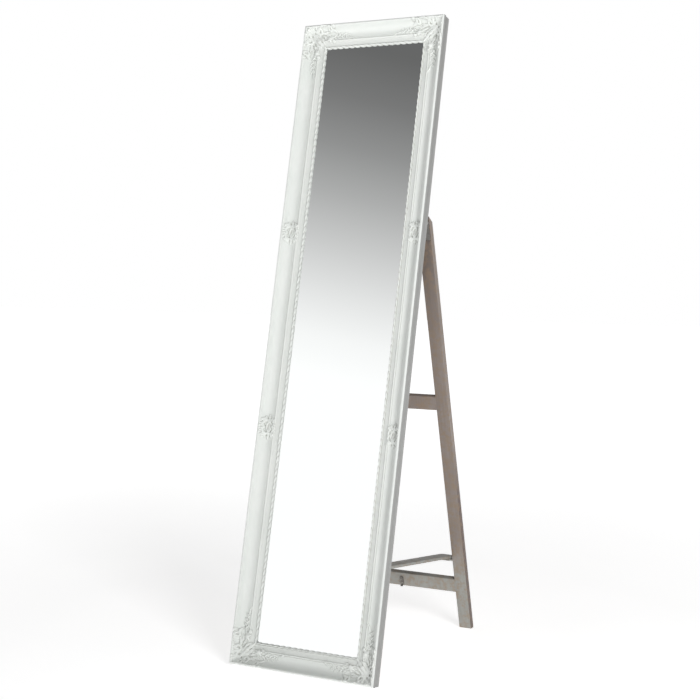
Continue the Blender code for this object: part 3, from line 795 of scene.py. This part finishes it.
def build_side_ornaments():
    relief = carve_side()
    u = SIDE_ORNAMENT_U - relief.A * MM
    front, back = ornament_faces(relief, u)
    for level, s in zip(("upper", "lower"), SIDE_ORNAMENT_S):
        for side, sx in (("left", -1.0), ("right", 1.0)):
            def place(a_m, b_m, n):
                return (sx * (HALF_W - SIDE_ORNAMENT_U + a_m), n, s + b_m)

            where = level + "_" + side
            obj = relief_object("side_carving_" + where, relief, front, back, place)
            register(obj, TO_WORLD, "frame", "antique_white", ["side_ornament_" + where])


# ------------------------------------------------------------------ stand timber
def timber(name, outline, x0, x1, space, body, nodes, bevel=0.0011):
    """Bar whose side outline is swept across, with eased and worn edges."""
    bm = bmesh.new()
    rows = [[bm.verts.new((x, y, z)) for y, z in outline] for x in (x0, x1)]
    count = len(outline)
    for i in range(count):
        j = (i + 1) % count
        bm.faces.new((rows[0][i], rows[0][j], rows[1][j], rows[1][i]))
    bm.faces.new(rows[0])
    bm.faces.new(reversed(rows[1]))
    bmesh.ops.recalc_face_normals(bm, faces=bm.faces)
    made = bmesh.ops.bevel(bm, geom=list(bm.edges), offset=bevel, offset_type="OFFSET",
                           segments=3, profile=0.5, affect="EDGES", clamp_overlap=True)
    layer = bm.verts.layers.float.new("edge")
    outside = bm.verts.layers.float.new("outside")
    for face in made["faces"]:
        for vert in face.verts:
            vert[layer] = 1.0
    drop = bm.verts.layers.float.new("drop")
    for vert in bm.verts:
        vert[outside] = 1.0 if abs(vert.co.x) > HALF_W - 0.0002 else 0.0
        # drop runs from 0 at the hinge to 1 at the foot; other bodies count as at the foot, so
        # they take the painted light of the paler grey.
        vert[drop] = vert.co.z / foot_height(HINGE_OFF) if body == "stand" else 1.0
    obj = mesh_object(name, bm, 40.0)
    return register(obj, space, body, "stand_paint", nodes)


STAND_RAILS = {"top": (0.091, 0.128), "middle": (0.460, 0.497), "lower": (0.983, 1.021)}


def build_stand():
    front = HINGE_OFF
    back = HINGE_OFF + LEG_T
    outline = ((front, foot_height(front)), (back, foot_height(back)),
               (back, LEG_OVER - CHAMFER_H), (front + 0.0012, LEG_OVER), (front, LEG_OVER))
    for side, sx in (("left", -1.0), ("right", 1.0)):
        xs = sorted((sx * HALF_W, sx * (HALF_W - LEG_W)))
        timber("stand_leg_" + side, outline, *xs, STAND_SPACE, "stand", ["leg_" + side])
    inner = HALF_W - LEG_W - 0.00005
    for name, (near, far) in STAND_RAILS.items():
        bar = ((front, -far), (back, -far), (back, -near), (front, -near))
        timber("stand_bar_" + name, bar, -inner, inner, STAND_SPACE, "stand",
               ["stand_rail_" + name])


def arm_reach():
    """Distance from the arm's pivot to the middle of the leg, along the arm."""
    leg_mid = HINGE_OFF + LEG_T / 2
    along = (math.cos(ARM_RISE), math.sin(ARM_RISE))
    down = (math.sin(APEX), -math.cos(APEX))
    start = (leg_mid * math.cos(APEX), HINGE_S - ARM_S + leg_mid * math.sin(APEX))
    return (start[0] * down[1] - start[1] * down[0]) / (along[0] * down[1] - along[1] * down[0])


def build_arms():
    end = arm_reach() + PEG_R + 0.0004 + STOP_T
    half = ARM_T / 2
    slat = [(end, half), (0.0, half), (-half * 0.7, half * 0.7), (-half, 0.0),
            (-half * 0.7, -half * 0.7), (0.0, -half), (end, -half)]
    block = [(end, -half), (end - STOP_T, -half), (end - STOP_T, -STOP_DROP), (end, -STOP_DROP)]
    for side, sx in (("left", -1.0), ("right", 1.0)):
        xs = sorted((sx * ARM_OUT_X, sx * (ARM_OUT_X - ARM_W)))
        body = "arm_" + side
        timber("slat_arm_" + side, slat, *xs, ARM_SPACE, body, ["spreader_arm_" + side], 0.0007)
        timber("stop_block_" + side, block, *xs, ARM_SPACE, body, ["arm_stop_" + side], 0.0006)


# ------------------------------------------------------------------ carried-over CAD nodes
CARRIED = {
    "mirror_glass": ("mirror_glass",),
    "hardboard": ("backing_board",),
    "steel": ("arm_bracket_", "arm_peg_", "arm_pin_", "catch_plate", "catch_screw_", "hinge_",
              "turn_button_"),
}


def dress_cad_nodes():
    for slot, prefixes in CARRIED.items():
        for name, obj in frame["nodes"].items():
            if not name.startswith(prefixes):
                continue
            obj.data.materials.clear()
            aged = name.startswith("catch_")
            obj.data.materials.append(AGED_STEEL if aged else MATERIALS[slot])


# ------------------------------------------------------------------ studio
def build_floor():
    mesh = bpy.data.meshes.new("floor")
    size = 14.0
    corners = [(-size, -size, 0.0), (size, -size, 0.0), (size, size, 0.0), (-size, size, 0.0)]
    mesh.from_pydata(corners, [], [(0, 1, 2, 3)])
    sh = Shader("pale_floor")
    mottle = sh.noise(3.0, 3.0)
    reach = sh.node("ShaderNodeVectorMath", operation="LENGTH")
    sh.link(sh.coords, reach.inputs[0])
    # Painted light: the floor glows, dimmest within about a metre of its middle and near white
    # from about four metres out.
    glow = sh.ramp(sh.math("DIVIDE", reach.outputs["Value"], size), ((0.07, 0.70), (0.30, 0.97)))
    sh.set(Base_Color=sh.ramp(mottle, ((0.3, 0.88), (0.7, 0.92))), Roughness=0.9,
           Emission_Color=glow, Emission_Strength=1.0)
    mesh.materials.append(sh.mat)
    floor = bpy.data.objects.new("floor", mesh)
    bpy.context.scene.collection.objects.link(floor)


# brightness of the studio by the sine of the elevation
SKY = ((0.0, 0.93), (0.311, 0.93), (0.338, 0.86), (0.366, 0.725), (0.40, 0.55), (0.433, 0.39),
       (0.465, 0.262), (0.496, 0.174), (0.526, 0.125), (1.0, 0.12))
# share of it left by the direction across, from the far left to the far right
SIDEWAYS = ((0.0, 0.75), (0.17, 0.85), (0.24, 1.0), (0.30, 1.0), (0.37, 0.50),
            (0.60, 0.35), (1.0, 0.35))
SKY_STRENGTH = 1.15


def build_world():
    """White walls that fade to a dim ceiling, brightest in front and to the left."""
    world = bpy.data.worlds.new("studio")
    bpy.context.scene.world = world
    world.use_nodes = True
    tree = world.node_tree
    tree.nodes.clear()
    coords = tree.nodes.new("ShaderNodeTexCoord")
    split = tree.nodes.new("ShaderNodeSeparateXYZ")
    tree.links.new(coords.outputs["Generated"], split.inputs[0])
    ramp = tree.nodes.new("ShaderNodeValToRGB")
    elements = ramp.color_ramp.elements
    while len(elements) < len(SKY):
        elements.new(0.5)
    for element, (position, value) in zip(elements, SKY):
        element.position = position
        element.color = (value, value, value, 1.0)
    tree.links.new(split.outputs["Z"], ramp.inputs["Fac"])
    across = tree.nodes.new("ShaderNodeMapRange")
    across.inputs["From Min"].default_value = -1.0
    tree.links.new(split.outputs["X"], across.inputs["Value"])
    share = tree.nodes.new("ShaderNodeValToRGB")
    stops = share.color_ramp.elements
    while len(stops) < len(SIDEWAYS):
        stops.new(0.5)
    for stop, (position, value) in zip(stops, SIDEWAYS):
        stop.position = position
        stop.color = (value, value, value, 1.0)
    tree.links.new(across.outputs["Result"], share.inputs["Fac"])
    scaled = tree.nodes.new("ShaderNodeVectorMath")
    scaled.operation = "SCALE"
    tree.links.new(ramp.outputs["Color"], scaled.inputs[0])
    tree.links.new(share.outputs["Color"], scaled.inputs["Scale"])
    studio = tree.nodes.new("ShaderNodeBackground")
    studio.inputs["Strength"].default_value = SKY_STRENGTH
    tree.links.new(scaled.outputs["Vector"], studio.inputs["Color"])
    white = tree.nodes.new("ShaderNodeBackground")
    white.inputs["Color"].default_value = (1.0, 1.0, 1.0, 1.0)
    path = tree.nodes.new("ShaderNodeLightPath")
    choose = tree.nodes.new("ShaderNodeMixShader")
    output = tree.nodes.new("ShaderNodeOutputWorld")
    tree.links.new(path.outputs["Is Camera Ray"], choose.inputs[0])
    tree.links.new(studio.outputs[0], choose.inputs[1])
    tree.links.new(white.outputs[0], choose.inputs[2])
    tree.links.new(choose.outputs[0], output.inputs["Surface"])


# large soft lamp on the viewer's right
KEY_AT = (2.9, -2.45, 1.8)
KEY_AIM = (0.0, 0.0, 0.8)
KEY_SIZE = 1.2
KEY_WATTS = 75.0


def area_light(name, location, target, size, power):
    data = bpy.data.lights.new(name, "AREA")
    data.shape = "SQUARE"
    data.size = size
    data.energy = power
    obj = bpy.data.objects.new(name, data)
    obj.location = location
    aim = Vector(target) - Vector(location)
    obj.rotation_euler = aim.to_track_quat("-Z", "Y").to_euler()
    obj.visible_glossy = False
    bpy.context.scene.collection.objects.link(obj)


CAMERA_AT = (1.6089, -3.0620, 1.0376)
CAMERA_YAW = 0.4886
CAMERA_PITCH = 0.0773
CAMERA_LENS = 70.0


def build_camera():
    data = bpy.data.cameras.new("camera")
    data.lens = CAMERA_LENS
    data.sensor_width = 36.0
    camera = bpy.data.objects.new("camera", data)
    camera.location = CAMERA_AT
    camera.rotation_euler = (math.pi / 2.0 - CAMERA_PITCH, 0.0, CAMERA_YAW)
    bpy.context.scene.collection.objects.link(camera)
    bpy.context.scene.camera = camera


def build():
    for side in ("left", "right", "bottom", "top"):
        build_rail(side)
        build_slip(side)
    build_corner_ornaments()
    build_side_ornaments()
    build_stand()
    build_arms()
    dress_cad_nodes()
    build_floor()
    build_world()
    area_light("key", KEY_AT, KEY_AIM, KEY_SIZE, KEY_WATTS)
    build_camera()
    bpy.context.scene.view_settings.view_transform = "Standard"


build()
